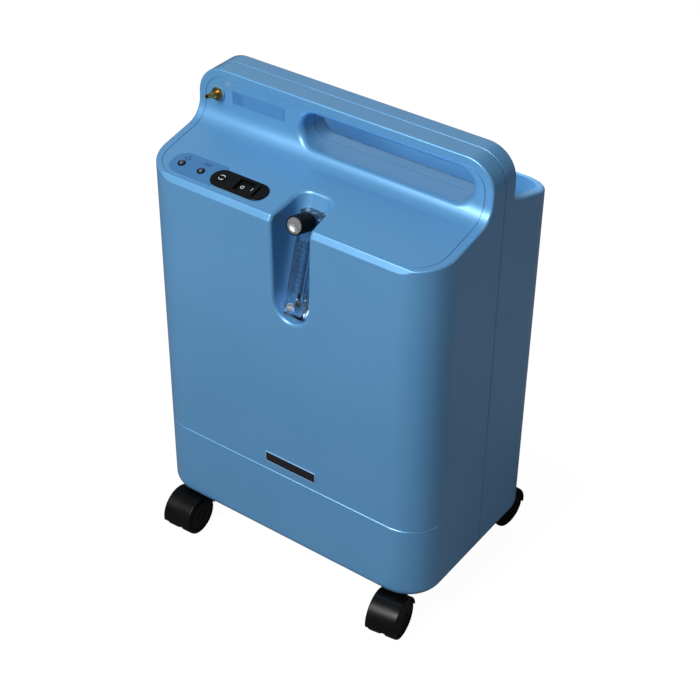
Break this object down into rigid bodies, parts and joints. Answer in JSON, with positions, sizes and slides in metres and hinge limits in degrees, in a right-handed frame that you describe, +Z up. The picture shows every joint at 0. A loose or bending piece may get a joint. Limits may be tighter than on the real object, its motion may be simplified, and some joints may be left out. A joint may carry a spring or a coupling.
{
  "type": "oxygen concentrator",
  "caption": "Upright home oxygen concentrator on twin-wheel casters: handle ridge, sloping control deck, recessed flow meter with knob, bottle tray behind.",
  "frame": {"origin": "centre of the overall box at floor level, midway between the casters", "axes": "+X to the machine's right-hand side seen from the front, -Y its front (flow meter side), +Z up"},
  "size_m": [0.381, 0.2998, 0.584],
  "materials": {
    "cover": "satin blue ABS",
    "pan": "fine-textured black plastic",
    "overlay": "darker blue printed film",
    "black_gloss": "moulded black plastic, glossy",
    "black_matte": "moulded black plastic",
    "wheel": "hard black nylon wheel",
    "lens": "unlit indicator lens",
    "brass": "machined brass",
    "label_dark": "plain blue film label, no lettering",
    "label_black": "plain black plate, no lettering",
    "acrylic": "clear acrylic block",
    "bright_metal": "bright turned metal",
    "steel": "plated steel",
    "foam": "open-cell grey foam",
    "aluminium": "cast aluminium",
    "rubber": "black rubber",
    "canister": "drawn aluminium",
    "coil": "bare aluminium tube",
    "circuit_board": "green solder mask",
    "hose_clear": "translucent vinyl tube"
  },
  "bodies": {
    "machine": {"air_filter": "foam", "air_hoses": "rubber", "base_pan": "pan", "board_components": "black_matte", "breaker_body": "black_matte", "compressor_case": "aluminium", "compressor_mounts": "rubber", "control_board": "circuit_board", "control_overlay": "overlay", "cooling_coil": "coil", "cover_screws": "steel", "cylinder_heads": "aluminium", "exhaust_muffler": "black_matte", "fan_housing": "black_matte", "flowmeter_barbs": "brass", "flowmeter_body": "acrylic", "front_cover": "cover", "hinge_pins": "steel", "meter_screw": "bright_metal", "name_plate": "label_black", "outlet_fitting": "brass", "outlet_nut": "brass", "oxygen_hoses": "hose_clear", "power_inlet": "black_matte", "power_switch_body": "black_matte", "product_tank": "canister", "rear_cover": "cover", "run_capacitor": "canister", "sieve_canisters": "canister", "solenoid_valves": "black_matte", "status_lights": "lens", "switch_bezel": "black_gloss", "title_label": "label_dark", "valve_manifold": "aluminium"},
    "power_rocker": {"power_rocker": "black_gloss"},
    "breaker_button": {"breaker_button": "black_gloss"},
    "flow_knob": {"flow_knob": "black_matte", "knob_cap": "bright_metal"},
    "flow_float": {"flow_float": "black_matte"},
    "filter_door": {"filter_door": "cover"},
    "fan_rotor": {"fan_rotor": "black_matte"},
    "compressor_shaft": {"compressor_shaft": "steel"},
    "piston_left": {"piston_left": "aluminium"},
    "piston_right": {"piston_right": "aluminium"},
    "caster_front_left": {"caster_hood_front_left": "black_gloss", "caster_axle_front_left": "steel"},
    "wheel_front_left_left": {"caster_wheel_front_left_left": "wheel"},
    "wheel_front_left_right": {"caster_wheel_front_left_right": "wheel"},
    "caster_front_right": {"caster_hood_front_right": "black_gloss", "caster_axle_front_right": "steel"},
    "wheel_front_right_left": {"caster_wheel_front_right_left": "wheel"},
    "wheel_front_right_right": {"caster_wheel_front_right_right": "wheel"},
    "caster_rear_left": {"caster_hood_rear_left": "black_gloss", "caster_axle_rear_left": "steel"},
    "wheel_rear_left_left": {"caster_wheel_rear_left_left": "wheel"},
    "wheel_rear_left_right": {"caster_wheel_rear_left_right": "wheel"},
    "caster_rear_right": {"caster_hood_rear_right": "black_gloss", "caster_axle_rear_right": "steel"},
    "wheel_rear_right_left": {"caster_wheel_rear_right_left": "wheel"},
    "wheel_rear_right_right": {"caster_wheel_rear_right_right": "wheel"}
  },
  "joints": [
    {"name": "swivel_front_left", "type": "hinge", "parent": "machine", "child": "caster_front_left", "pos_m": [-0.15, -0.1, 0.065], "axis": [0, 0, 1], "continuous": true},
    {"name": "spin_front_left_left", "type": "hinge", "parent": "caster_front_left", "child": "wheel_front_left_left", "pos_m": [-0.14916, -0.11998, 0.025], "axis": [0.9991, 0.0419, 0], "continuous": true},
    {"name": "spin_front_left_right", "type": "hinge", "parent": "caster_front_left", "child": "wheel_front_left_right", "pos_m": [-0.14916, -0.11998, 0.025], "axis": [0.9991, 0.0419, 0], "continuous": true},
    {"name": "swivel_front_right", "type": "hinge", "parent": "machine", "child": "caster_front_right", "pos_m": [0.15, -0.1, 0.065], "axis": [0, 0, 1], "continuous": true},
    {"name": "spin_front_right_left", "type": "hinge", "parent": "caster_front_right", "child": "wheel_front_right_left", "pos_m": [0.15261, -0.11983, 0.025], "axis": [0.9914, 0.1305, 0], "continuous": true},
    {"name": "spin_front_right_right", "type": "hinge", "parent": "caster_front_right", "child": "wheel_front_right_right", "pos_m": [0.15261, -0.11983, 0.025], "axis": [0.9914, 0.1305, 0], "continuous": true},
    {"name": "swivel_rear_left", "type": "hinge", "parent": "machine", "child": "caster_rear_left", "pos_m": [-0.15, 0.1, 0.065], "axis": [0, 0, 1], "continuous": true},
    {"name": "spin_rear_left_left", "type": "hinge", "parent": "caster_rear_left", "child": "wheel_rear_left_left", "pos_m": [-0.15261, 0.11983, 0.025], "axis": [-0.9914, -0.1305, 0], "continuous": true},
    {"name": "spin_rear_left_right", "type": "hinge", "parent": "caster_rear_left", "child": "wheel_rear_left_right", "pos_m": [-0.15261, 0.11983, 0.025], "axis": [-0.9914, -0.1305, 0], "continuous": true},
    {"name": "swivel_rear_right", "type": "hinge", "parent": "machine", "child": "caster_rear_right", "pos_m": [0.15, 0.1, 0.065], "axis": [0, 0, 1], "continuous": true},
    {"name": "spin_rear_right_left", "type": "hinge", "parent": "caster_rear_right", "child": "wheel_rear_right_left", "pos_m": [0.1523, 0.11987, 0.025], "axis": [-0.9934, 0.1149, 0], "continuous": true},
    {"name": "spin_rear_right_right", "type": "hinge", "parent": "caster_rear_right", "child": "wheel_rear_right_right", "pos_m": [0.1523, 0.11987, 0.025], "axis": [-0.9934, 0.1149, 0], "continuous": true},
    {"name": "power_switch", "type": "hinge", "parent": "machine", "child": "power_rocker", "pos_m": [-0.061, -0.09492, 0.50448], "axis": [0, 0.9824, 0.1867], "range_deg": [0, 18]},
    {"name": "breaker_press", "type": "slide", "parent": "machine", "child": "breaker_button", "axis": [0, -0.1867, 0.9824], "range_m": [0, 0.003]},
    {"name": "flow_valve", "type": "hinge", "parent": "machine", "child": "flow_knob", "pos_m": [0.013, -0.09339, 0.49252], "axis": [0, -0.9613, 0.2756], "range_deg": [0, 900]},
    {"name": "float_rise", "type": "slide", "parent": "machine", "child": "flow_float", "axis": [0, 0.2756, 0.9613], "range_m": [0, 0.059]},
    {"name": "filter_door_hinge", "type": "hinge", "parent": "machine", "child": "filter_door", "pos_m": [-0.0533, 0.1184, 0.255], "axis": [0, 0, 1], "range_deg": [0, 90]},
    {"name": "fan_spin", "type": "hinge", "parent": "machine", "child": "fan_rotor", "pos_m": [0.105, -0.02, 0.264], "axis": [0, 0, 1], "continuous": true},
    {"name": "shaft_spin", "type": "hinge", "parent": "machine", "child": "compressor_shaft", "pos_m": [0.055, -0.01, 0.125], "axis": [1, 0, 0], "continuous": true},
    {"name": "piston_left_stroke", "type": "slide", "parent": "machine", "child": "piston_left", "axis": [0, 0, 1], "range_m": [-0.007, 0.007]},
    {"name": "piston_right_stroke", "type": "slide", "parent": "machine", "child": "piston_right", "axis": [0, 0, 1], "range_m": [-0.007, 0.007]}
  ]
}
